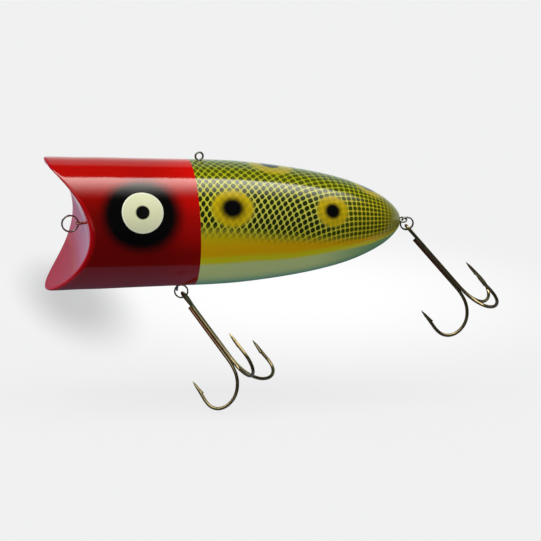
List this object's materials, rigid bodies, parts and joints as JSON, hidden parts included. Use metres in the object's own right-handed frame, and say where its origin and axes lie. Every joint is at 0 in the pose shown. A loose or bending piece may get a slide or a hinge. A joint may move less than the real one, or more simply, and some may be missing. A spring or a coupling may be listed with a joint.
{
  "type": "topwater popper lure",
  "caption": "Large topwater popper with a scooped mouth, a turned wooden body, screw eyes, split rings and treble hooks that swing.",
  "frame": {"origin": "centroid of the whole lure, on the turning axis of the body", "axes": "+X along the body from the mouth to the tail, +Y to the left flank, +Z to the back of the lure"},
  "size_m": [0.1943, 0.0674, 0.1048],
  "materials": {
    "painted_wood": "gloss lacquer",
    "eye_enamel": "gloss enamel",
    "black_enamel": "gloss enamel",
    "dark_nickel": "black nickel plate, bright",
    "bronzed_steel": "bronzed, lacquered",
    "braze": "bronzed over braze",
    "lead": "as cast"
  },
  "bodies": {
    "lure": {"body": "painted_wood", "left_eye_disc": "eye_enamel", "right_eye_disc": "eye_enamel", "left_pupil": "black_enamel", "right_pupil": "black_enamel", "ballast_slug": "lead", "ballast_plug": "painted_wood", "nose_screw_eye": "dark_nickel", "top_screw_eye": "dark_nickel", "belly_screw_eye": "dark_nickel", "tail_screw_eye": "dark_nickel"},
    "nose_ring": {"nose_split_ring": "dark_nickel"},
    "belly_ring": {"belly_split_ring": "dark_nickel"},
    "belly_treble": {"belly_double_hook": "bronzed_steel", "belly_single_hook": "bronzed_steel", "belly_braze_front": "braze", "belly_braze_back": "braze"},
    "tail_ring": {"tail_split_ring": "dark_nickel"},
    "tail_treble": {"tail_double_hook": "bronzed_steel", "tail_single_hook": "bronzed_steel", "tail_braze_front": "braze", "tail_braze_back": "braze"}
  },
  "joints": [
    {"name": "nose_ring_swing", "type": "hinge", "parent": "lure", "child": "nose_ring", "pos_m": [-0.05348, 0, 0], "axis": [0, 1, 0], "range_deg": [-60, 60]},
    {"name": "belly_ring_swing", "type": "hinge", "parent": "lure", "child": "belly_ring", "pos_m": [-0.01046, 0, -0.02915], "axis": [0.2419, 0.9703, 0], "range_deg": [-3, 100]},
    {"name": "belly_hook_swing", "type": "hinge", "parent": "belly_ring", "child": "belly_treble", "pos_m": [-0.00735, -0.00044, -0.03199], "axis": [-0.8576, 0.1205, -0.5], "range_deg": [-80, 60]},
    {"name": "tail_ring_swing", "type": "hinge", "parent": "lure", "child": "tail_ring", "pos_m": [0.08694, 0, 0], "axis": [0, 0.9613, 0.2756], "range_deg": [-160, 5]},
    {"name": "tail_hook_swing", "type": "hinge", "parent": "tail_ring", "child": "tail_treble", "pos_m": [0.08796, 0.00062, -0.0044], "axis": [-0.9659, 0.036, -0.2563], "range_deg": [-80, 70]}
  ]
}
